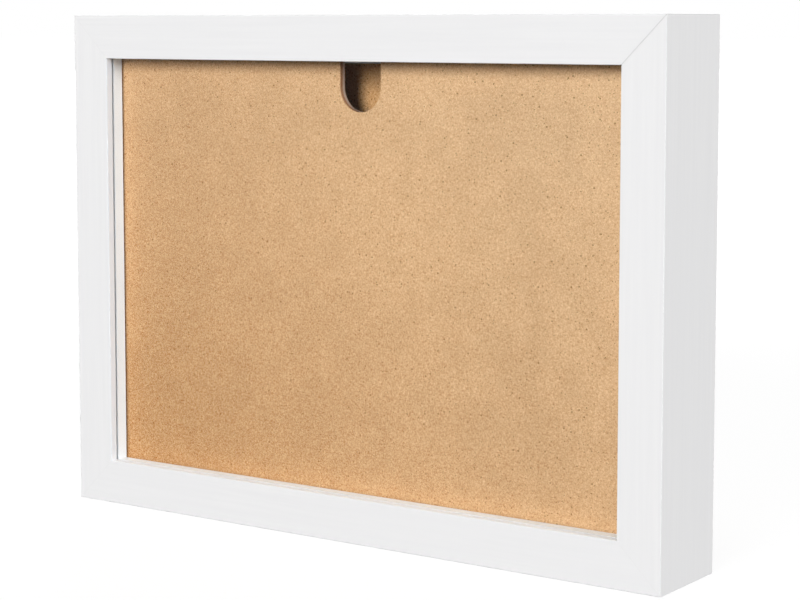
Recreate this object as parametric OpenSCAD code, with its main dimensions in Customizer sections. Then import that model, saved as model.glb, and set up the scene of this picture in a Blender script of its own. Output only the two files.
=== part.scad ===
// Deep box picture frame. Lengths are in millimetres.
// X runs to the right, Y runs from the front to the back, and Z runs up.
// The origin lies on the bottom face, midway along it and midway through the frame's depth.

/* [Picture] */
// Width of the sheet and of the boards that the frame takes
sheet_w = 297; // [200:1:420]
// Height of the sheet and of the boards that the frame takes
sheet_h = 210; // [150:1:300]
// Gap between the boards and the rebate, on each side
board_play = 0.5; // [0.3:0.1:1]

/* [Frame bars] */
// Thickness of each bar behind the lip
wall_t = 15.5; // [14:0.5:24]
// How far the lip reaches in over the rebate
lip_w = 5.5; // [4:0.5:8]
// Thickness of the lip
lip_t = 3.8; // [2:0.1:5]
// Depth of the frame from front to back
frame_d = 48; // [46:1:70]
// Radius of the bars' long edges
arris_r = 0.3; // [0.2:0.1:1]

/* [Glazing and front spacers] */
// Thickness of the glazing sheet
glazing_t = 2.5; // [1.5:0.1:3]
// Depth of the front spacer strips
front_spacer_d = 6; // [4:0.5:10]
// How far the front spacers stand back from the edge of the lip
front_spacer_setback = 0.1; // [0.1:0.1:1]
// Gap between the front spacers and the display board
stack_play = 1.1; // [0.3:0.1:1.2]

/* [Display board] */
// Thickness of the display board
display_board_t = 3.5; // [2:0.5:5]
// Width of the thumb notch
notch_w = 22.8; // [16:0.1:32]
// Depth of the thumb notch below the board's top edge
notch_h = 28.3; // [20:0.1:40]
// Distance of the notch's middle to the right of the board's
notch_offset = 1.5; // [-40:0.5:40]

/* [Rear spacers and back panel] */
// Depth of the rear spacer strips
rear_spacer_d = 16.5; // [12:0.5:18]
// Thickness of the rear spacer strips
rear_spacer_t = 6; // [4:0.5:8]
// Thickness of the back panel
back_panel_t = 3; // [2:0.5:3]

/* [Turn tabs] */
// Distance from the panel's edge to a tab's rivet
tab_inset = 12; // [10:0.5:14]
// Distance from each upper or lower tab's rivet to the middle of the frame
tab_spread = 90; // [60:1:92]
// Width of a tab
tab_w = 12; // [9:0.5:12]
// Thickness of a tab
tab_t = 1; // [0.8:0.1:1.2]
// Length of a tab from its rivet to its locking end
tab_reach = 16; // [15:0.5:16.5]
// Length of a tab from its rivet to its finger end
tab_tail = 9; // [7:0.5:10]
// Width of a tab at its finger end
tab_tail_w = 9; // [6:0.5:9]
// Height of the finger lug that is bent up there
tab_lug_h = 4; // [2:0.5:6]
// Gap between a tab and the back panel
tab_gap = 0.25; // [0.2:0.05:0.4]
// Radius of a rivet's shank
rivet_r = 1.6; // [1.2:0.1:2]
// Radius of a rivet's head
rivet_head_r = 3.2; // [2.8:0.1:4]
// Thickness of a rivet's head
rivet_head_t = 0.9; // [0.6:0.1:1.2]
// Depth of the groove that the tabs lock into
groove_h = 4.5; // [4:0.1:5]

/* [Corner nails] */
// Length of a nail's leg
nail_leg = 4.5; // [3:0.5:5]
// Thickness of a nail's leg
nail_t = 0.6; // [0.5:0.1:0.8]
// How deep a nail is driven
nail_depth = 8; // [6:0.5:10]
// Distance from each outer face to the outer nail's bend
nail_outer = 6; // [6:0.5:6.5]
// Distance from each outer face to the inner nail's bend
nail_inner = 12.5; // [12:0.5:13]

/* [Keyhole hangers] */
// Width of a hanger plate
keyhole_plate_w = 12; // [12:0.1:12.5]
// Length of a hanger plate
keyhole_plate_h = 36; // [36:1:44]
// Thickness of a hanger plate
keyhole_plate_t = 1.5; // [1:0.1:2]
// Distance from the frame's top to the middle of a hanger plate
keyhole_drop = 46; // [44:1:60]
// Radius of the round entry that a screw head passes through
keyhole_r = 4; // [3.5:0.1:4.2]
// Radius of the slot's end, where the screw's shank hangs
keyhole_slot_r = 2.1; // [1.6:0.1:2.4]
// Travel from the entry to the slot's end
keyhole_travel = 10; // [8:0.5:10]
// Room behind a hanger plate for the screw's head
keyhole_room_d = 7; // [5:0.5:8]
// Gap between that room's side and the entry
keyhole_room_play = 0.6; // [0.4:0.1:0.8]
// Distance between the two screws of a hanger plate
plate_screw_gap = 26; // [26:0.5:28]
// Radius of a plate screw's shank
plate_screw_r = 1.3; // [1:0.1:1.4]
// Radius of a plate screw's head
plate_screw_head_r = 2.6; // [2.2:0.1:2.7]
// Length of a plate screw
plate_screw_l = 12; // [8:1:14]
// Depth of a plate screw's countersunk head
plate_screw_head_t = 1.2; // [1:0.1:1.3]

/* [Wall bumpers] */
// Radius of a bumper
bumper_r = 5; // [4:0.5:6]
// Height of a bumper
bumper_h = 2.5; // [1.5:0.5:3]
// Height of the bumpers above the frame's bottom
bumper_rise = 30; // [24:1:60]

/* [Hidden] */
$fn = 48;

// Gap round a screw, a rivet or a plate in its seat
seat_play = 0.05;
// Gap between a turning tab and its rivet
pivot_play = 0.08;
// Gap between a tab and each side of its groove
groove_play = 0.4;
// Overrun of every cut past the face that it opens
overrun = 1;

// Inner radius of the bend to a tab's finger lug, and radius of the lug's corners
tab_bend_r = 0.6;
tab_corner_r = 1.5;
// Length, width and depth of a plate screw's cross recess
recess_l = 2.6;
recess_w = 0.6;
recess_d = 0.7;

rebate_w = sheet_w + 2 * board_play;
rebate_h = sheet_h + 2 * board_play;
frame_w = rebate_w + 2 * wall_t;
frame_h = rebate_h + 2 * wall_t;
bar_w = wall_t + lip_w;

// Distances of the layers behind the frame's front face
glazing_y = lip_t;
front_spacer_y = glazing_y + glazing_t;
display_board_y = front_spacer_y + front_spacer_d + stack_play;
rear_spacer_y = display_board_y + display_board_t;
back_panel_y = rear_spacer_y + rear_spacer_d;
tab_y = back_panel_y + back_panel_t + tab_gap;
rivet_head_y = tab_y + tab_t + pivot_play;
groove_y = tab_y - groove_play;
groove_w = tab_t + 2 * groove_play;

// Each tab's rivet, as its place across and up, and the turn of its long arm about Y at rest
board_bottom = wall_t + board_play;
board_top = board_bottom + sheet_h;
tab_left = -sheet_w / 2 + tab_inset;
tab_low = board_bottom + tab_inset;
tab_high = board_top - tab_inset;
arm_right = 0;
arm_down = 90;
arm_left = 180;
top_left_place = [-tab_spread, tab_high, arm_right];
top_right_place = [tab_spread, tab_high, arm_left];
bottom_left_place = [-tab_spread, tab_low, arm_right];
bottom_right_place = [tab_spread, tab_low, arm_left];
left_place = [tab_left, frame_h / 2, arm_down];
right_place = [-tab_left, frame_h / 2, arm_down];
tab_places = [
    top_left_place, top_right_place, bottom_left_place, bottom_right_place, left_place, right_place
];

white_paint = [0.94, 0.94, 0.94];
white_card = [0.9, 0.9, 0.89];
hardboard = [0.84, 0.67, 0.48];
clear_glass = [0.8, 0.9, 0.9, 0.3];
zinc = [0.72, 0.73, 0.75];
black_rubber = [0.1, 0.1, 0.1];

// Gives a flat outline, drawn as seen from the front, its depth behind a distance from the front face
module layer(y, depth) {
    translate([0, y + depth - frame_d / 2, 0]) rotate([90, 0, 0]) linear_extrude(depth) children();
}

// A rectangle centred across, standing on a height
module standing_rect(w, h, z) {
    translate([-w / 2, z]) square([w, h]);
}

// What rounds a square edge at the origin
module arris() {
    difference() {
        translate([-overrun, -overrun]) square(arris_r + overrun);
        translate([arris_r, arris_r]) circle(arris_r);
    }
}

// The bar's section: inward from its outer face along x, and back from its front face along y
module bar_section() {
    difference() {
        square([bar_w, frame_d]);
        translate([wall_t, lip_t]) square([lip_w + overrun, frame_d]);
        translate([wall_t - groove_h, groove_y]) square([groove_h + overrun, groove_w]);
        arris();
        translate([bar_w, 0]) mirror([1, 0]) arris();
        translate([0, frame_d]) mirror([0, 1]) arris();
    }
}

// One bar with mitred ends, its outer face down and its inner side up
module bar(len) {
    outer = len / 2 + overrun;
    inner = len / 2 - bar_w - overrun;
    translate([0, -frame_d / 2, 0]) intersection() {
        rotate([0, -90, 0]) linear_extrude(len, center = true) bar_section();
        translate([0, frame_d + overrun, 0]) rotate([90, 0, 0]) linear_extrude(frame_d + 2 * overrun)
            polygon([
                [-outer, -overrun], [outer, -overrun], [inner, bar_w + overrun], [-inner, bar_w + overrun]
            ]);
    }
}

// Places a bar's drawing on one side of the frame
module on_side(turn, x, z) {
    translate([x, 0, z]) rotate([0, turn, 0]) children();
}

module frame_rail_top() {
    color(white_paint) difference() {
        on_side(180, 0, frame_h) bar(frame_w);
        v_nail_group();
    }
}

module frame_rail_bottom() {
    color(white_paint) difference() {
        on_side(0, 0, 0) bar(frame_w);
        v_nail_group();
    }
}

module frame_stile_left() {
    color(white_paint) difference() {
        on_side(90, -frame_w / 2, frame_h / 2) bar(frame_h);
        v_nail_group();
        at_keyhole(-1) keyhole_pocket();
    }
}

module frame_stile_right() {
    color(white_paint) difference() {
        on_side(-90, frame_w / 2, frame_h / 2) bar(frame_h);
        v_nail_group();
        at_keyhole(1) keyhole_pocket();
    }
}

// One V nail seen from the front, its bend at the origin and its legs towards the outer faces
module v_nail_outline() {
    translate([-nail_leg, -nail_t / 2]) square([nail_leg + nail_t / 2, nail_t]);
    translate([-nail_t / 2, -nail_leg]) square([nail_t, nail_leg + nail_t / 2]);
}

// Two nails across the mitre at each corner
module v_nail_group() {
    layer(frame_d - nail_depth, nail_depth)
        for (side = [0, 1], end = [0, 1], d = [nail_outer, nail_inner])
            translate([0, frame_h / 2]) mirror([0, end]) mirror([side, 0])
                translate([-frame_w / 2 + d, -frame_h / 2 + d]) v_nail_outline();
}

module corner_v_nails() {
    color(zinc) v_nail_group();
}

module glazing_sheet() {
    color(clear_glass) layer(glazing_y, glazing_t) standing_rect(sheet_w, sheet_h, board_bottom);
}

// A strip that runs across, standing on a height
module level_strip(w, t, y, depth, z) {
    layer(y, depth) standing_rect(w, t, z);
}

// A strip that runs up, between an upper and a lower one
module upright_strip(h, t, y, depth, x, z) {
    layer(y, depth) translate([x, z]) square([t, h]);
}

front_spacer_t = lip_w - front_spacer_setback;
front_side_h = rebate_h - 2 * front_spacer_t;

module front_spacer_top() {
    color(white_card) level_strip(
        rebate_w, front_spacer_t, front_spacer_y, front_spacer_d, frame_h - wall_t - front_spacer_t
    );
}

module front_spacer_bottom() {
    color(white_card) level_strip(rebate_w, front_spacer_t, front_spacer_y, front_spacer_d, wall_t);
}

module front_spacer_left() {
    color(white_card) upright_strip(
        front_side_h, front_spacer_t, front_spacer_y, front_spacer_d, -rebate_w / 2, wall_t + front_spacer_t
    );
}

module front_spacer_right() {
    color(white_card) upright_strip(
        front_side_h, front_spacer_t, front_spacer_y, front_spacer_d,
        rebate_w / 2 - front_spacer_t, wall_t + front_spacer_t
    );
}

// The display board, with its round-bottomed thumb notch open at the top
module display_board() {
    notch_r = notch_w / 2;
    color(hardboard) layer(display_board_y, display_board_t) difference() {
        standing_rect(sheet_w, sheet_h, board_bottom);
        translate([notch_offset, board_top - notch_h + notch_r]) {
            circle(notch_r);
            standing_rect(notch_w, notch_h, 0);
        }
    }
}

rear_side_h = sheet_h - 2 * rear_spacer_t;

module rear_spacer_top() {
    color(white_card)
        level_strip(sheet_w, rear_spacer_t, rear_spacer_y, rear_spacer_d, board_top - rear_spacer_t);
}

module rear_spacer_bottom() {
    color(white_card) level_strip(sheet_w, rear_spacer_t, rear_spacer_y, rear_spacer_d, board_bottom);
}

module rear_spacer_left() {
    color(white_card) upright_strip(
        rear_side_h, rear_spacer_t, rear_spacer_y, rear_spacer_d, -sheet_w / 2, board_bottom + rear_spacer_t
    );
}

module rear_spacer_right() {
    color(white_card) upright_strip(
        rear_side_h, rear_spacer_t, rear_spacer_y, rear_spacer_d,
        sheet_w / 2 - rear_spacer_t, board_bottom + rear_spacer_t
    );
}

// Puts a drawing that runs back along Y at each rivet, y behind the frame's front face
module at_rivets(y) {
    for (place = tab_places)
        translate([place[0], y - frame_d / 2, place[1]]) rotate([-90, 0, 0]) children();
}

module back_panel() {
    color(hardboard) difference() {
        layer(back_panel_y, back_panel_t) standing_rect(sheet_w, sheet_h, board_bottom);
        at_rivets(back_panel_y - overrun) cylinder(h = back_panel_t + 2 * overrun, r = rivet_r + seat_play);
    }
}

// A shallow dome along z, standing on the plane through the origin
module dome(r, h) {
    dome_r = (r * r + h * h) / (2 * h);
    intersection() {
        translate([0, 0, h - dome_r]) sphere(dome_r);
        cylinder(h = h + overrun, r = r + overrun);
    }
}

// Each rivet has a flat head inside and a domed one over its tab
module turn_tab_rivets() {
    inner_y = back_panel_y - rivet_head_t;
    color(zinc) {
        at_rivets(inner_y) cylinder(h = rivet_head_t, r = rivet_head_r);
        at_rivets(inner_y) cylinder(h = rivet_head_y + rivet_head_t / 2 - inner_y, r = rivet_r);
        at_rivets(rivet_head_y) dome(rivet_head_r, rivet_head_t);
    }
}

tab_bend = tab_t + tab_bend_r;
tab_lug_top = tab_t + tab_lug_h;

// A tab's outline about its rivet: round at its locking end along x, and narrower at its finger end
module tab_outline() {
    end_r = tab_w / 2;
    tail_r = tab_tail_w / 2;
    difference() {
        union() {
            translate([tab_reach - end_r, 0]) circle(end_r);
            translate([0, -end_r]) square([tab_reach - end_r, tab_w]);
            polygon([
                [0, -end_r], [0, end_r], [tab_bend - tab_tail, tail_r], [-tab_tail, tail_r],
                [-tab_tail, -tail_r], [tab_bend - tab_tail, -tail_r]
            ]);
        }
        circle(rivet_r + pivot_play);
    }
}

// A tab from the side: a flat strip whose finger end is bent up along y
module tab_side() {
    translate([tab_bend - tab_tail, 0]) square([tab_reach + tab_tail - tab_bend + overrun, tab_t]);
    translate([-tab_tail, tab_bend]) square([tab_t, tab_lug_top - tab_bend + overrun]);
    intersection() {
        translate([-tab_tail, 0]) square(tab_bend);
        translate([tab_bend - tab_tail, tab_bend]) difference() {
            circle(tab_bend);
            circle(tab_bend_r);
        }
    }
}

// A tab from its finger end: wide enough for the strip, with the lug's corners rounded
module tab_end() {
    shoulder = tab_lug_top - tab_corner_r;
    corner_x = tab_tail_w / 2 - tab_corner_r;
    standing_rect(tab_w + 2 * overrun, shoulder + overrun, -overrun);
    standing_rect(2 * corner_x, tab_lug_top, 0);
    for (side = [-1, 1]) translate([side * corner_x, shoulder]) circle(tab_corner_r);
}

// A turn tab with its finger lug bent up from the tail
module turn_tab(place) {
    color(zinc) translate([place[0], tab_y - frame_d / 2, place[1]]) rotate([0, place[2], 0]) intersection() {
        linear_extrude(tab_w + 2 * overrun, center = true) tab_side();
        translate([0, tab_lug_top + overrun, 0]) rotate([90, 0, 0])
            linear_extrude(tab_lug_top + 2 * overrun) tab_outline();
        rotate([0, -90, 0]) linear_extrude(2 * (tab_reach + tab_tail), center = true) tab_end();
    }
}

// Puts a drawing at the middle of a hanger plate's back face
module at_keyhole(side) {
    translate([side * (frame_w / 2 - wall_t / 2), frame_d / 2, frame_h - keyhole_drop]) children();
}

// A slot seen from the front: a round end at each height, as wide as they are
module slot_outline(r, low, high) {
    translate([0, low]) circle(r);
    translate([0, high]) circle(r);
    translate([-r, low]) square([2 * r, high - low]);
}

// An outline sunk into the back face
module sunk(depth) {
    rotate([90, 0, 0]) linear_extrude(depth) children();
}

// The part of an outline that is cut, from past the back face to a depth
module cut_from_back(depth) {
    translate([0, overrun, 0]) sunk(depth + overrun) children();
}

plate_end = keyhole_plate_h / 2 - keyhole_plate_w / 2;

module plate_outline(play) {
    slot_outline(keyhole_plate_w / 2 + play, -plate_end, plate_end);
}

// One countersunk plate screw along Y, its head at the back face
module plate_screw(play) {
    rotate([90, 0, 0]) {
        cylinder(h = plate_screw_head_t, r1 = plate_screw_head_r + play, r2 = plate_screw_r + play);
        cylinder(h = plate_screw_l, r = plate_screw_r + play);
    }
}

module at_plate_screws() {
    for (end = [-1, 1]) translate([0, 0, end * plate_screw_gap / 2]) children();
}

// What a hanger takes out of a stile: its seat, the room for the wall screw's head, and pilot holes
module keyhole_pocket() {
    cut_from_back(keyhole_plate_t + seat_play) plate_outline(seat_play);
    cut_from_back(keyhole_plate_t + keyhole_room_d)
        slot_outline(keyhole_r + keyhole_room_play, -keyhole_travel / 2, keyhole_travel / 2);
    at_plate_screws() plate_screw(seat_play);
}

module keyhole_plate() {
    color(zinc) difference() {
        sunk(keyhole_plate_t) plate_outline(0);
        cut_from_back(keyhole_plate_t + overrun)
            slot_outline(keyhole_slot_r, -keyhole_travel / 2, keyhole_travel / 2);
        cut_from_back(keyhole_plate_t + overrun) translate([0, -keyhole_travel / 2]) circle(keyhole_r);
        at_plate_screws() plate_screw(seat_play);
    }
}

module keyhole_plate_left() {
    at_keyhole(-1) keyhole_plate();
}

module keyhole_plate_right() {
    at_keyhole(1) keyhole_plate();
}

module keyhole_plate_screws() {
    color(zinc) for (side = [-1, 1]) at_keyhole(side) at_plate_screws() difference() {
        plate_screw(0);
        for (turn = [0, 90]) rotate([0, turn, 0])
            cube([recess_l, 2 * recess_d, recess_w], center = true);
    }
}

// A domed bumper on the back face of a stile
module wall_bumper(side) {
    color(black_rubber) translate([side * (frame_w / 2 - wall_t / 2), frame_d / 2, bumper_rise])
        rotate([-90, 0, 0]) dome(bumper_r, bumper_h);
}

module wall_bumper_left() {
    wall_bumper(-1);
}

module wall_bumper_right() {
    wall_bumper(1);
}

frame_rail_top();
frame_rail_bottom();
frame_stile_left();
frame_stile_right();
corner_v_nails();
glazing_sheet();
front_spacer_top();
front_spacer_bottom();
front_spacer_left();
front_spacer_right();
display_board();
rear_spacer_top();
rear_spacer_bottom();
rear_spacer_left();
rear_spacer_right();
back_panel();
turn_tab_rivets();
turn_tab(top_left_place);  // turn_tab_top_left
turn_tab(top_right_place);  // turn_tab_top_right
turn_tab(bottom_left_place);  // turn_tab_bottom_left
turn_tab(bottom_right_place);  // turn_tab_bottom_right
turn_tab(left_place);  // turn_tab_left
turn_tab(right_place);  // turn_tab_right
keyhole_plate_left();
keyhole_plate_right();
keyhole_plate_screws();
wall_bumper_left();
wall_bumper_right();
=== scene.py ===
"""Looks of a deep box picture frame: white painted bars, a glazed window and a hardboard display board."""

import math

import bpy
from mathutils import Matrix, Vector


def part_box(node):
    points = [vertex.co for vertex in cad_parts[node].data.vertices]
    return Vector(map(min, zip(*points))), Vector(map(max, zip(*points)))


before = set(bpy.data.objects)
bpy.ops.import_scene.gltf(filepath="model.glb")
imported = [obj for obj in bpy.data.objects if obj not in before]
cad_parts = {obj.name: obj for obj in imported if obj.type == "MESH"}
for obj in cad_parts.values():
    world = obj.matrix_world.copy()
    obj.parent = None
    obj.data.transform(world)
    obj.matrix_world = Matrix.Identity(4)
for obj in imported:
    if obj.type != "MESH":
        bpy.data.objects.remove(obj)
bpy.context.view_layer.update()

MM = 0.001

FRAME_LOW, FRAME_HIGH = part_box("frame_rail_bottom")[0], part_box("frame_rail_top")[1]
FRAME_MIDDLE = (FRAME_LOW + FRAME_HIGH) / 2
GLAZING_INSET = FRAME_HIGH.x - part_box("glazing_sheet")[1].x

# The camera stands a little under the frame's top and looks slightly down.
IMAGE_WIDTH_PX = 800
FOCAL_LENGTH_PX = 2112
SENSOR_WIDTH_MM = 36
CAMERA_PLACE = Vector((0.5696, -0.7918, 0.2378))
CAMERA_TURN = math.radians(34.99)
CAMERA_TILT = math.radians(5.35)
CAMERA_SHIFT = -0.0975

# Lamps: degrees to the right of the frame's front and above its middle, how wide each looks from there in
# degrees, how brightly it lights a white card that faces it, where 1 is white, and whether it shows in
# reflections
LAMP_DISTANCE = 10.0
LAMPS = {
    "key_lamp": {"turn": 5, "rise": 17, "spread": 26, "level": 0.88, "reflected": False},
    "side_lamp": {"turn": 82, "rise": 5, "spread": 9, "level": 0.705, "reflected": True},
    "top_lamp": {"turn": 20, "rise": 80, "spread": 30, "level": 0.50, "reflected": True},
    "back_lamp": {"turn": 216, "rise": 10, "spread": 19, "level": 1.14, "reflected": False},
}

# The world is white to look at, and lights the frame only this much.
AMBIENT_LEVEL = 0.03

# The floor glows for whatever looks at it. Near the frame it glows a little less, because the lamps light
# it too, and so it is white there except in the frame's soft shadow. It returns little light.
FLOOR_SIZE = 60.0
FLOOR_COLOUR = 0.10
FLOOR_NEAR, FLOOR_FAR = 0.5, 1.5
FLOOR_GLOW_NEAR, FLOOR_GLOW_FAR = 0.91, 1.0

# Bands of a noise's values, which gather round 0.5. A ramp runs from one end of a band to the other.
NARROW_BAND = (0.35, 0.65)
MIDDLE_BAND = (0.30, 0.70)
WIDE_BAND = (0.25, 0.75)
FULL_BAND = (0.20, 0.80)

# White paint. The streaks of the grain are stretched along a bar.
STREAK_STRETCH = {"x": (0.03, 1, 1), "z": (1, 1, 0.03)}
PAINT_STREAKS = {"scale": 420, "detail": 3, "roughness": 0.6}
PAINT_CLOUDS = {"scale": 22, "detail": 3}
PAINT_STIPPLE = {"scale": 1500, "detail": 2}
PAINT_TONES = (0.814, 0.812, 0.818, 1), (0.836, 0.834, 0.838, 1)
PAINT_CLOUD_TONE, PAINT_CLOUD_STRENGTH = (0.824, 0.823, 0.830, 1), 0.5
# Painted shade on the 45-degree edges, which evens out the highlight that they catch
PAINT_ARRIS_SHADE = (0.66, 0.66, 0.67, 1)
# Painted shade on the bar faces that look into the window: cooler and darker than the paint, darker on the
# stiles than on the rails
RAIL_INNER_PAINTED_SHADE = (0.77, 0.80, 0.83, 1)
STILE_INNER_PAINTED_SHADE = (0.66, 0.70, 0.75, 1)
PAINT_ROUGHNESS = (0.56, 0.64)
PAINT_SPECULAR = 0.35
PAINT_STIPPLE_DEPTH, PAINT_STREAK_DEPTH = 0.012 * MM, 0.03 * MM

# On a mitre, a place lies as far inside the frame's side as inside its top or bottom. The hairline is full
# up to the first of these differences between the two, and gone at the second. Only the upper right mitre
# stands open.
MITRE_REACH = (0.15 * MM, 0.5 * MM)
CLOSED_MITRE_SHARE, OPEN_MITRE_SHARE = 0.12, 1.0
MITRE_TONE, MITRE_STRENGTH = (0.25, 0.24, 0.23, 1), 0.22
MITRE_DEPTH = 0.1 * MM

# How far a bar's face lies from the frame's middle, counted below zero where it looks back at the middle
INNER_FACE_BAND = (-60 * MM, -50 * MM)

# The sum of the fourth powers of a normal, which is 1 along an axis and a half at 45 degrees to two of them
ARRIS_BAND = (0.60, 0.95)

# Cuts in a bar begin this far under its painted outer side, front and back, and end this far from the level
# of the glazing's edge. They show the fibreboard that the bars are made of.
CUT_UNDER_SIDE, CUT_UNDER_FRONT, CUT_UNDER_BACK = 0.4 * MM, 0.5 * MM, 0.1 * MM
CUT_TO_GLAZING = 0.8 * MM
RAW_FIBRE = {"scale": 800, "detail": 3, "roughness": 0.7}
RAW_FIBRE_TONES = (0.34, 0.22, 0.13, 1), (0.56, 0.41, 0.27, 1)

# White wrapped strips. The front strips carry painted light: the level ones are painted lighter than the
# upright ones, and both cooler than the rear strips, against the warm light that the board returns.
STRIP_FIBRES = {"scale": 900, "detail": 3}
STRIP_CLOUDS = {"scale": 40, "detail": 2}
LEVEL_STRIP_LIT_TONES = (0.790, 0.825, 0.865, 1), (0.815, 0.850, 0.890, 1)
UPRIGHT_STRIP_SHADED_TONES = (0.715, 0.770, 0.830, 1), (0.735, 0.790, 0.850, 1)
REAR_STRIP_TONES = (0.805, 0.815, 0.825, 1), (0.830, 0.840, 0.850, 1)
STRIP_ROUGHNESS = (0.50, 0.62)
STRIP_FIBRE_DEPTH = 0.02 * MM

# A hardboard's face: the display board's colour at its lower left and at its upper right, where it is paler
# from painted sheen and painted light, the back panel's colour, and how much of that painted gradient goes
# across and how much goes up
BOARD_DEEP = (0.522, 0.274, 0.114, 1)
BOARD_PAINTED_SHEEN_TONE = (0.896, 0.592, 0.346, 1)
PANEL_TONE = (0.715, 0.403, 0.183, 1)
SHEEN_ACROSS_SHARE, SHEEN_UP_SHARE = 0.55, 0.45

# The mottle makes the face darker or lighter by up to so many steps. One step changes the colour so much.
BOARD_MOTTLE = {"scale": 1300, "detail": 3, "roughness": 0.6, "distortion": 0.5}
MOTTLE_STEPS = 5.8
MOTTLE_STEP = (0.0375, 0.040, 0.0275)
MOTTLE_DEPTH = 0.03 * MM
BOARD_PATCHES = {"scale": 60, "detail": 3}
PATCH_TONE, PATCH_STRENGTH = (0.30, 0.15, 0.06, 1), 0.09

# Flecks: cells of their pattern in a metre and its stretch, the share of the cells that hold a fleck, the
# largest fleck's size in cells, and its colour and strength
DARK_FLECK = (0.28, 0.11, 0.015, 1)
PALE_FLECK = (0.98, 0.64, 0.37, 1)
FIBRE_FLECK = (0.36, 0.22, 0.11, 1)
FACE_FLECKS = (
    {"scale": 300, "stretch": (1, 1, 1), "share": 0.42, "size": 0.18, "tone": DARK_FLECK, "strength": 0.78},
    {"scale": 520, "stretch": (1, 1, 1), "share": 0.65, "size": 0.28, "tone": DARK_FLECK, "strength": 0.64},
    {"scale": 330, "stretch": (1, 1, 0.7), "share": 0.25, "size": 0.13, "tone": PALE_FLECK, "strength": 0.5},
)
REAR_FLECKS = (
    {"scale": 180, "stretch": (0.5, 1, 1), "share": 0.5, "size": 0.22, "tone": FIBRE_FLECK, "strength": 0.6},
)
SMALLEST_FLECK_SHARE = 0.4
FLECK_CORE_SHARE = 0.5

# A hardboard's cut edge, whose colour changes between two shares of its thickness, counted from the front
EDGE_CHANGE_SHARES = (0.4, 0.7)
EDGE_TONES = (0.46, 0.22, 0.115, 1), (0.63, 0.49, 0.395, 1)
EDGE_FIBRES = {"scale": 700, "detail": 3, "roughness": 0.7}
EDGE_FIBRE_STRETCH = (1, 6, 1)
EDGE_FIBRE_TONE, EDGE_FIBRE_STRENGTH = (0.16, 0.09, 0.05, 1), 0.35

# A hardboard's rear face, with the print of the wire mesh that it was pressed on
REAR_TONES = (0.13, 0.066, 0.028, 1), (0.23, 0.125, 0.055, 1)
REAR_CLOUDS = {"scale": 45, "detail": 4, "roughness": 0.65}
REAR_CLOUD_TONE, REAR_CLOUD_STRENGTH = (0.27, 0.150, 0.070, 1), 0.35
SCREEN_PITCH = 1.8 * MM
SCREEN_BAND = (-0.7, 0.7)
SCREEN_TONE, SCREEN_STRENGTH = (0.09, 0.045, 0.02, 1), 0.45
SCREEN_DEPTH = 0.15 * MM

# A normal that lies more than this much along Y belongs to a board's front or rear face, not to its edge.
FACE_NORMAL_SHARE = 0.5
BOARD_FACE_ROUGHNESS, BOARD_CUT_ROUGHNESS = 0.42, 0.8
BOARD_SPECULAR = 0.03

# Clear glazing: the colour of the glass, and of the light that it lets through
GLASS_TONE = (0.985, 0.995, 0.99, 1)
GLASS_IOR = 1.5
GLASS_PASSED_TONE = (0.982, 0.988, 0.985, 1)

# Zinc plate
ZINC_WEAR = {"scale": 900, "detail": 4, "roughness": 0.7}
ZINC_SPANGLE = {"scale": 260, "detail": 2}
ZINC_PLATE_GREYS = (0.47, 0.60)
ZINC_FASTENER_GREYS = (0.26, 0.36)
ZINC_ROUGHNESS = (0.28, 0.45)
ZINC_WEAR_DEPTH = 0.01 * MM

# Rubber
RUBBER_GRAIN = {"scale": 1800, "detail": 3}
RUBBER_TONES = (0.012, 0.012, 0.013, 1), (0.028, 0.028, 0.030, 1)
RUBBER_ROUGHNESS = (0.6, 0.8)
RUBBER_GRAIN_DEPTH = 0.03 * MM

# The sockets that a Mix node uses for colours
MIX_SHARE, MIX_FIRST, MIX_SECOND, MIX_RESULT = 0, 6, 7, 2


def feed(tree, socket, value):
    """Sets an input to a number or colour, or links a socket to it. None leaves it as it is."""
    if value is None:
        return
    if isinstance(value, bpy.types.NodeSocket):
        tree.links.new(value, socket)
    else:
        socket.default_value = value


def math_node(tree, operation, first, second=None):
    """A Math node's output. Inputs are numbers or sockets."""
    node = tree.nodes.new("ShaderNodeMath")
    node.operation = operation
    feed(tree, node.inputs[0], first)
    feed(tree, node.inputs[1], second)
    return node.outputs[0]


def vector_node(tree, operation, *values):
    """A Vector Math node. Values are vectors or sockets."""
    node = tree.nodes.new("ShaderNodeVectorMath")
    node.operation = operation
    for socket, value in zip(node.inputs, values):
        feed(tree, socket, value)
    return node


def separate(tree, place):
    """The three coordinates of a place."""
    node = tree.nodes.new("ShaderNodeSeparateXYZ")
    feed(tree, node.inputs[0], place)
    return node.outputs[0], node.outputs[1], node.outputs[2]


def stretched(tree, place, scale):
    """The place scaled along each axis."""
    node = tree.nodes.new("ShaderNodeMapping")
    feed(tree, node.inputs["Vector"], place)
    node.inputs["Scale"].default_value = scale
    return node.outputs["Vector"]


def mix_colour(tree, share, first, second):
    """A colour mix of two colours by a share from 0 to 1."""
    node = tree.nodes.new("ShaderNodeMix")
    node.data_type = "RGBA"
    feed(tree, node.inputs[MIX_SHARE], share)
    feed(tree, node.inputs[MIX_FIRST], first)
    feed(tree, node.inputs[MIX_SECOND], second)
    return node.outputs[MIX_RESULT]


def tinted(tree, tone, mask, tint, strength):
    """A colour with another laid over it where a mask is 1, as strongly as strength says."""
    return mix_colour(tree, math_node(tree, "MULTIPLY", mask, strength), tone, tint)


def ramp_value(tree, value, low, high, to_low=0.0, to_high=1.0, smooth=True):
    """Maps a value from one range to another, clamped at both ends."""
    node = tree.nodes.new("ShaderNodeMapRange")
    node.interpolation_type = "SMOOTHSTEP" if smooth else "LINEAR"
    for socket, number in zip(node.inputs, (value, low, high, to_low, to_high)):
        feed(tree, socket, number)
    return node.outputs[0]


def between(tree, value, low, high):
    """1 where a value lies between two limits, and 0 elsewhere."""
    above = math_node(tree, "GREATER_THAN", value, low)
    return math_node(tree, "MULTIPLY", above, math_node(tree, "LESS_THAN", value, high))


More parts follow.
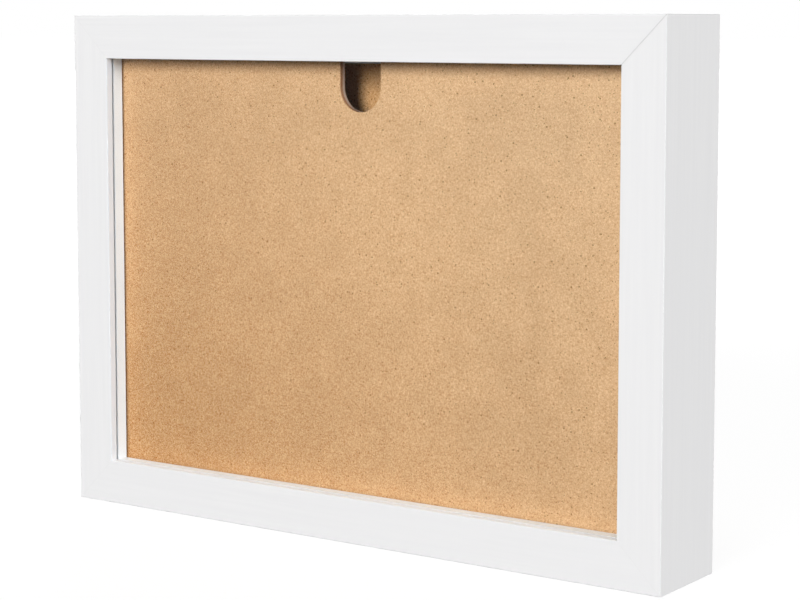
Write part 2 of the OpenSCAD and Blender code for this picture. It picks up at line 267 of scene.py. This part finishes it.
def noise(tree, place, scale, detail, roughness=0.5, distortion=0.0):
    """A noise texture's value at a place, with its scale in features per metre."""
    node = tree.nodes.new("ShaderNodeTexNoise")
    feed(tree, node.inputs["Vector"], place)
    node.inputs["Scale"].default_value = scale
    node.inputs["Detail"].default_value = detail
    node.inputs["Roughness"].default_value = roughness
    node.inputs["Distortion"].default_value = distortion
    return node.outputs["Fac"]


def bump(tree, height, distance, normal=None):
    """A bumped normal from a height from 0 to 1, with its full height in metres, below zero for a dent."""
    node = tree.nodes.new("ShaderNodeBump")
    feed(tree, node.inputs["Height"], height)
    node.inputs["Distance"].default_value = distance
    feed(tree, node.inputs["Normal"], normal)
    return node.outputs["Normal"]


def new_material(name):
    """A node material, its tree and its Principled shader."""
    material = bpy.data.materials.new(name)
    material.use_nodes = True
    tree = material.node_tree
    return material, tree, tree.nodes["Principled BSDF"]


def place_and_normal(tree):
    """The place on the object in metres, and the direction that its surface faces there."""
    node = tree.nodes.new("ShaderNodeTexCoord")
    return node.outputs["Object"], node.outputs["Normal"]


def feed_surface(tree, share, first, second):
    """Gives a material a mix of two shaders by a share from 0 to 1."""
    mix = tree.nodes.new("ShaderNodeMixShader")
    tree.links.new(share, mix.inputs[0])
    tree.links.new(first.outputs[0], mix.inputs[1])
    tree.links.new(second.outputs[0], mix.inputs[2])
    tree.links.new(mix.outputs[0], tree.nodes["Material Output"].inputs["Surface"])


def grey(level):
    """A neutral colour."""
    return (level, level, level, 1.0)


def above_middle(tree, up):
    """How far a height lies above the frame's middle."""
    return math_node(tree, "SUBTRACT", up, FRAME_MIDDLE.z)


def from_outside(tree, place):
    """How far a place lies inside the frame's nearer side, and inside its top or bottom."""
    across, _, up = separate(tree, place)
    from_side = math_node(tree, "SUBTRACT", FRAME_HIGH.x, math_node(tree, "ABSOLUTE", across))
    from_middle = math_node(tree, "ABSOLUTE", above_middle(tree, up))
    return from_side, math_node(tree, "SUBTRACT", FRAME_HIGH.z - FRAME_MIDDLE.z, from_middle)


def mitre_line(tree, place):
    """How strongly the hairline of a mitre shows at a place, from 0 to 1."""
    across, _, up = separate(tree, place)
    off_mitre = math_node(tree, "ABSOLUTE", math_node(tree, "SUBTRACT", *from_outside(tree, place)))
    line = ramp_value(tree, off_mitre, *MITRE_REACH, 1.0, 0.0)
    right = math_node(tree, "GREATER_THAN", across, 0.0)
    upper = math_node(tree, "GREATER_THAN", up, FRAME_MIDDLE.z)
    open_corner = math_node(tree, "MULTIPLY", right, upper)
    share = ramp_value(tree, open_corner, 0.0, 1.0, CLOSED_MITRE_SHARE, OPEN_MITRE_SHARE, smooth=False)
    return math_node(tree, "MULTIPLY", line, share)


def inner_faces(tree, place, normal):
    """1 on the faces of the bars that look at the window, and 0 on the others."""
    across, _, up = separate(tree, place)
    side, _, rise = separate(tree, normal)
    sideways = math_node(tree, "MULTIPLY", across, side)
    upright = math_node(tree, "MULTIPLY", above_middle(tree, up), rise)
    return ramp_value(tree, math_node(tree, "ADD", sideways, upright), *INNER_FACE_BAND, 1.0, 0.0)


def arrises(tree, normal):
    """1 on edges that are broken at 45 degrees, and 0 on faces along the axes."""
    squares = vector_node(tree, "MULTIPLY", normal, normal).outputs["Vector"]
    fourths = vector_node(tree, "DOT_PRODUCT", squares, squares).outputs["Value"]
    return ramp_value(tree, fourths, *ARRIS_BAND, 1.0, 0.0)


def cuts(tree, place):
    """1 on what is cut into a bar after it is painted, its groove and hanger pockets, and 0 on its skin."""
    inside = math_node(tree, "MINIMUM", *from_outside(tree, place))
    depth = separate(tree, place)[1]
    under_side = between(tree, inside, CUT_UNDER_SIDE, GLAZING_INSET - CUT_TO_GLAZING)
    under_skin = between(tree, depth, FRAME_LOW.y + CUT_UNDER_FRONT, FRAME_HIGH.y - CUT_UNDER_BACK)
    return math_node(tree, "MULTIPLY", under_side, under_skin)


def raw_fibre(tree, place):
    """The colour of a cut through the fibreboard that the bars are made of."""
    return mix_colour(tree, noise(tree, place, **RAW_FIBRE), *RAW_FIBRE_TONES)


def white_paint(name, along, inner_shade_tone):
    """Satin white paint with the faint streaks of the grain along a bar, with painted shade on its 45-degree
    edges and on the faces that look into the window.
    """
    material, tree, shader = new_material(name)
    place, normal = place_and_normal(tree)
    streaks = noise(tree, stretched(tree, place, STREAK_STRETCH[along]), **PAINT_STREAKS)
    clouds = noise(tree, place, **PAINT_CLOUDS)
    line = mitre_line(tree, place)

    tone = mix_colour(tree, ramp_value(tree, streaks, *MIDDLE_BAND), *PAINT_TONES)
    tone = tinted(tree, tone, ramp_value(tree, clouds, *NARROW_BAND), PAINT_CLOUD_TONE, PAINT_CLOUD_STRENGTH)
    # Painted shade on the broken edges, against their highlight
    tone = mix_colour(tree, arrises(tree, normal), tone, PAINT_ARRIS_SHADE)
    # Painted shade on the faces that look into the window
    tone = mix_colour(tree, inner_faces(tree, place, normal), tone, inner_shade_tone)
    tone = mix_colour(tree, cuts(tree, place), tone, raw_fibre(tree, place))
    feed(tree, shader.inputs["Base Color"], tinted(tree, tone, line, MITRE_TONE, MITRE_STRENGTH))
    feed(tree, shader.inputs["Roughness"], ramp_value(tree, clouds, *MIDDLE_BAND, *PAINT_ROUGHNESS))
    shader.inputs["Specular IOR Level"].default_value = PAINT_SPECULAR

    relief = bump(tree, noise(tree, place, **PAINT_STIPPLE), PAINT_STIPPLE_DEPTH)
    relief = bump(tree, streaks, PAINT_STREAK_DEPTH, relief)
    feed(tree, shader.inputs["Normal"], bump(tree, line, -MITRE_DEPTH, relief))
    return material


def white_strip(name, tones):
    """White wrapped strips between the layers."""
    material, tree, shader = new_material(name)
    place, _ = place_and_normal(tree)
    fibres = noise(tree, place, **STRIP_FIBRES)
    clouds = noise(tree, place, **STRIP_CLOUDS)
    feed(tree, shader.inputs["Base Color"], mix_colour(tree, ramp_value(tree, clouds, *MIDDLE_BAND), *tones))
    feed(tree, shader.inputs["Roughness"], ramp_value(tree, fibres, *MIDDLE_BAND, *STRIP_ROUGHNESS))
    feed(tree, shader.inputs["Normal"], bump(tree, fibres, STRIP_FIBRE_DEPTH))
    return material


def flecks(tree, place, scale, share, size):
    """Sparse round flecks, 1 inside and 0 outside, in a share of the cells and up to a size in cells."""
    cells = tree.nodes.new("ShaderNodeTexVoronoi")
    feed(tree, cells.inputs["Vector"], place)
    cells.inputs["Scale"].default_value = scale
    pick, bulk, _ = separate(tree, cells.outputs["Color"])
    chosen = math_node(tree, "LESS_THAN", pick, share)
    size_share = ramp_value(tree, bulk, 0.0, 1.0, SMALLEST_FLECK_SHARE, 1.0, smooth=False)
    reach = math_node(tree, "MULTIPLY", size_share, size)
    out_share = math_node(tree, "DIVIDE", cells.outputs["Distance"], reach)
    return math_node(tree, "MULTIPLY", ramp_value(tree, out_share, FLECK_CORE_SHARE, 1.0, 1.0, 0.0), chosen)


def flecked(tree, place, tone, kinds):
    """A colour with flecks of several kinds laid over it."""
    for kind in kinds:
        cell_place = stretched(tree, place, kind["stretch"])
        mask = flecks(tree, cell_place, kind["scale"], kind["share"], kind["size"])
        tone = tinted(tree, tone, mask, kind["tone"], kind["strength"])
    return tone


def screen_print(tree, place):
    """The print of a wire mesh in the rear face: 1 on its knots and 0 in its holes."""
    across, _, up = separate(tree, place)
    waves = []
    for along in (across, up):
        phase = math_node(tree, "MULTIPLY", along, 2 * math.pi / SCREEN_PITCH)
        waves.append(math_node(tree, "SINE", phase))
    return ramp_value(tree, math_node(tree, "MULTIPLY", *waves), *SCREEN_BAND)


def painted_sheen_share(tree, place, low, high):
    """How much painted sheen and painted light a place gets, from 0 at a board's lower left corner to 1 at
    its upper right one.
    """
    across, _, up = separate(tree, place)
    across_part = ramp_value(tree, across, low.x, high.x, 0.0, SHEEN_ACROSS_SHARE, smooth=False)
    up_part = ramp_value(tree, up, low.z, high.z, 0.0, SHEEN_UP_SHARE, smooth=False)
    return math_node(tree, "ADD", across_part, up_part)


def board_face(tree, place, mottle, plain_tone):
    """The smooth front: a colour with a fine mottle, faint patches and sparse flecks."""
    steps = ramp_value(tree, mottle, *FULL_BAND, -MOTTLE_STEPS, MOTTLE_STEPS, smooth=False)
    tone = vector_node(tree, "MULTIPLY_ADD", steps, MOTTLE_STEP, plain_tone).outputs["Vector"]
    patches = ramp_value(tree, noise(tree, place, **BOARD_PATCHES), *NARROW_BAND)
    tone = tinted(tree, tone, patches, PATCH_TONE, PATCH_STRENGTH)
    return flecked(tree, place, tone, FACE_FLECKS)


def board_edge(tree, place, front_y, back_y):
    """The cut edge, paler toward the back, with darker fibres that run along it."""
    change_start, change_end = (front_y + share * (back_y - front_y) for share in EDGE_CHANGE_SHARES)
    change = ramp_value(tree, separate(tree, place)[1], change_start, change_end)
    tone = mix_colour(tree, change, *EDGE_TONES)
    fibres = noise(tree, stretched(tree, place, EDGE_FIBRE_STRETCH), **EDGE_FIBRES)
    fibres = ramp_value(tree, fibres, *NARROW_BAND, 1.0, 0.0)
    return tinted(tree, tone, fibres, EDGE_FIBRE_TONE, EDGE_FIBRE_STRENGTH)


def board_rear(tree, place, mottle, screen):
    """The rough rear: mottled and clouded, darker where the mesh pressed it, with long pale fibres."""
    tone = mix_colour(tree, ramp_value(tree, mottle, *WIDE_BAND), *REAR_TONES)
    clouds = ramp_value(tree, noise(tree, place, **REAR_CLOUDS), *NARROW_BAND)
    tone = tinted(tree, tone, clouds, REAR_CLOUD_TONE, REAR_CLOUD_STRENGTH)
    tone = tinted(tree, tone, screen, SCREEN_TONE, SCREEN_STRENGTH)
    return flecked(tree, place, tone, REAR_FLECKS)


def hardboard(name, node, deep, pale):
    """Pressed wood fibre with a smooth front face, a cut edge and a rear face with a screen print."""
    material, tree, shader = new_material(name)
    place, normal = place_and_normal(tree)
    low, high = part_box(node)
    facing = separate(tree, normal)[1]
    rear = math_node(tree, "GREATER_THAN", facing, FACE_NORMAL_SHARE)
    edge = math_node(tree, "LESS_THAN", math_node(tree, "ABSOLUTE", facing), FACE_NORMAL_SHARE)
    mottle = noise(tree, place, **BOARD_MOTTLE)
    screen = screen_print(tree, place)

    # Painted sheen and painted light: the face grows paler towards its upper right
    plain_tone = mix_colour(tree, painted_sheen_share(tree, place, low, high), deep, pale)
    tone = board_face(tree, place, mottle, plain_tone)
    tone = mix_colour(tree, edge, tone, board_edge(tree, place, low.y, high.y))
    tone = mix_colour(tree, rear, tone, board_rear(tree, place, mottle, screen))
    feed(tree, shader.inputs["Base Color"], tone)
    rough = math_node(tree, "MAXIMUM", rear, edge)
    rough = ramp_value(tree, rough, 0.0, 1.0, BOARD_FACE_ROUGHNESS, BOARD_CUT_ROUGHNESS, smooth=False)
    feed(tree, shader.inputs["Roughness"], rough)
    shader.inputs["Specular IOR Level"].default_value = BOARD_SPECULAR

    relief = bump(tree, mottle, MOTTLE_DEPTH)
    rear_screen = math_node(tree, "MULTIPLY", screen, rear)
    feed(tree, shader.inputs["Normal"], bump(tree, rear_screen, -SCREEN_DEPTH, relief))
    return material


def clear_glazing():
    """Clear sheet: glass for what looks at it, and see-through for the light that passes on to the board."""
    material, tree, shader = new_material("clear_glazing")
    shader.inputs["Base Color"].default_value = GLASS_TONE
    shader.inputs["Roughness"].default_value = 0.0
    shader.inputs["IOR"].default_value = GLASS_IOR
    shader.inputs["Transmission Weight"].default_value = 1.0
    shader.inputs["Specular Tint"].default_value = grey(0.0)
    path = tree.nodes.new("ShaderNodeLightPath")
    passing = math_node(tree, "MAXIMUM", path.outputs["Is Shadow Ray"], path.outputs["Is Diffuse Ray"])
    clear = tree.nodes.new("ShaderNodeBsdfTransparent")
    clear.inputs["Color"].default_value = GLASS_PASSED_TONE
    feed_surface(tree, passing, shader, clear)
    return material


def zinc_steel(name, greys):
    """Zinc-plated steel with fine wear, between a dull and a bright grey."""
    material, tree, shader = new_material(name)
    place, _ = place_and_normal(tree)
    wear = noise(tree, place, **ZINC_WEAR)
    spangle = ramp_value(tree, noise(tree, place, **ZINC_SPANGLE), *NARROW_BAND)
    dull, bright = greys
    feed(tree, shader.inputs["Base Color"], mix_colour(tree, spangle, grey(dull), grey(bright)))
    shader.inputs["Metallic"].default_value = 1.0
    feed(tree, shader.inputs["Roughness"], ramp_value(tree, wear, *MIDDLE_BAND, *ZINC_ROUGHNESS))
    feed(tree, shader.inputs["Normal"], bump(tree, wear, ZINC_WEAR_DEPTH))
    return material


def black_rubber():
    """Matt black rubber."""
    material, tree, shader = new_material("black_rubber")
    place, _ = place_and_normal(tree)
    grain = noise(tree, place, **RUBBER_GRAIN)
    feed(tree, shader.inputs["Base Color"], mix_colour(tree, grain, *RUBBER_TONES))
    feed(tree, shader.inputs["Roughness"], ramp_value(tree, grain, *MIDDLE_BAND, *RUBBER_ROUGHNESS))
    feed(tree, shader.inputs["Normal"], bump(tree, grain, RUBBER_GRAIN_DEPTH))
    return material


def matches(node, name):
    """Whether a name stands for a node. One that ends in * stands for every node that starts so."""
    return node.startswith(name[:-1]) if name.endswith("*") else node == name


def dress(material, *names):
    """Gives the CAD nodes that some names stand for one material."""
    for node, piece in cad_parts.items():
        if any(matches(node, name) for name in names):
            piece.data.materials.clear()
            piece.data.materials.append(material)


def dress_pieces():
    """Gives every CAD node its material."""
    # The rail and stile paints are copies whose inner faces carry different painted shade
    dress(white_paint("white_paint_rail", "x", RAIL_INNER_PAINTED_SHADE), "frame_rail_*")
    dress(white_paint("white_paint_stile", "z", STILE_INNER_PAINTED_SHADE), "frame_stile_*")
    # The level and upright front strips are lit and shaded copies of one strip: painted light
    dress(white_strip("white_strip_level_lit", LEVEL_STRIP_LIT_TONES), "front_spacer_top", "front_spacer_bottom")
    dress(white_strip("white_strip_upright_shaded", UPRIGHT_STRIP_SHADED_TONES), "front_spacer_left", "front_spacer_right")
    dress(white_strip("white_strip_rear", REAR_STRIP_TONES), "rear_spacer_*")
    dress(hardboard("hardboard_display", "display_board", BOARD_DEEP, BOARD_PAINTED_SHEEN_TONE), "display_board")
    dress(hardboard("hardboard_back", "back_panel", PANEL_TONE, PANEL_TONE), "back_panel")
    dress(clear_glazing(), "glazing_sheet")
    dress(zinc_steel("zinc_steel", ZINC_PLATE_GREYS), "turn_tab_*", "keyhole_plate_*")
    fasteners = zinc_steel("zinc_steel_fastener", ZINC_FASTENER_GREYS)
    dress(fasteners, "turn_tab_rivets", "keyhole_plate_screws", "corner_v_nails")
    dress(black_rubber(), "wall_bumper_*")


def background_rays(tree):
    """1 for rays that see the background, straight or in a reflection, and 0 for those that only light."""
    path = tree.nodes.new("ShaderNodeLightPath")
    seen = math_node(tree, "MAXIMUM", path.outputs["Is Camera Ray"], path.outputs["Is Glossy Ray"])
    seen = math_node(tree, "MAXIMUM", seen, path.outputs["Is Transmission Ray"])
    unscattered = math_node(tree, "LESS_THAN", path.outputs["Diffuse Depth"], 1.0)
    return math_node(tree, "MULTIPLY", seen, unscattered)


def make_world():
    """A white world that lights softly."""
    world = bpy.data.worlds.new("studio")
    bpy.context.scene.world = world
    world.use_nodes = True
    tree = world.node_tree
    sky = tree.nodes["Background"]
    sky.inputs["Color"].default_value = grey(1.0)
    level = ramp_value(tree, background_rays(tree), 0.0, 1.0, AMBIENT_LEVEL, 1.0, smooth=False)
    feed(tree, sky.inputs["Strength"], level)


def make_floor():
    """A white floor under the frame that keeps a soft shadow and returns little light."""
    bpy.ops.mesh.primitive_plane_add(size=FLOOR_SIZE, location=(0, 0, FRAME_LOW.z))
    floor = bpy.context.object
    floor.name = "floor"
    material, tree, shader = new_material("floor_white")
    tree.nodes.remove(shader)
    place, _ = place_and_normal(tree)
    plain = tree.nodes.new("ShaderNodeBsdfDiffuse")
    glow = tree.nodes.new("ShaderNodeEmission")
    total = tree.nodes.new("ShaderNodeAddShader")
    plain.inputs["Color"].default_value = grey(FLOOR_COLOUR)
    away = vector_node(tree, "LENGTH", place).outputs["Value"]
    level = ramp_value(tree, away, FLOOR_NEAR, FLOOR_FAR, FLOOR_GLOW_NEAR, FLOOR_GLOW_FAR)
    feed(tree, glow.inputs["Strength"], level)
    tree.links.new(plain.outputs[0], total.inputs[0])
    tree.links.new(glow.outputs[0], total.inputs[1])
    feed_surface(tree, background_rays(tree), plain, total)
    floor.data.materials.append(material)


def direction(turn, rise):
    """Unit vector out from the frame's front, turned to the right and raised, in degrees."""
    turn, rise = math.radians(turn), math.radians(rise)
    return Vector((math.sin(turn) * math.cos(rise), -math.cos(turn) * math.cos(rise), math.sin(rise)))


def make_lamps():
    """Soft lamps that face the frame's middle."""
    for name, lamp in LAMPS.items():
        data = bpy.data.lights.new(name, "AREA")
        data.shape = "DISK"
        data.size = 2 * LAMP_DISTANCE * math.tan(math.radians(lamp["spread"] / 2))
        data.energy = lamp["level"] * math.pi**2 * LAMP_DISTANCE**2
        light = bpy.data.objects.new(name, data)
        out = direction(lamp["turn"], lamp["rise"])
        light.location = FRAME_MIDDLE + out * LAMP_DISTANCE
        light.rotation_euler = out.to_track_quat("Z", "Y").to_euler()
        light.visible_camera = False
        light.visible_glossy = lamp["reflected"]
        bpy.context.scene.collection.objects.link(light)


def make_camera():
    """The camera at the photograph's place."""
    data = bpy.data.cameras.new("camera")
    data.sensor_width = SENSOR_WIDTH_MM
    data.lens = FOCAL_LENGTH_PX / IMAGE_WIDTH_PX * SENSOR_WIDTH_MM
    data.shift_y = CAMERA_SHIFT
    camera = bpy.data.objects.new("camera", data)
    camera.location = CAMERA_PLACE
    camera.rotation_euler = (math.pi / 2 - CAMERA_TILT, 0, CAMERA_TURN)
    bpy.context.scene.collection.objects.link(camera)
    bpy.context.scene.camera = camera


make_camera()
make_world()
make_floor()
make_lamps()
dress_pieces()
bpy.context.scene.view_settings.view_transform = "Standard"
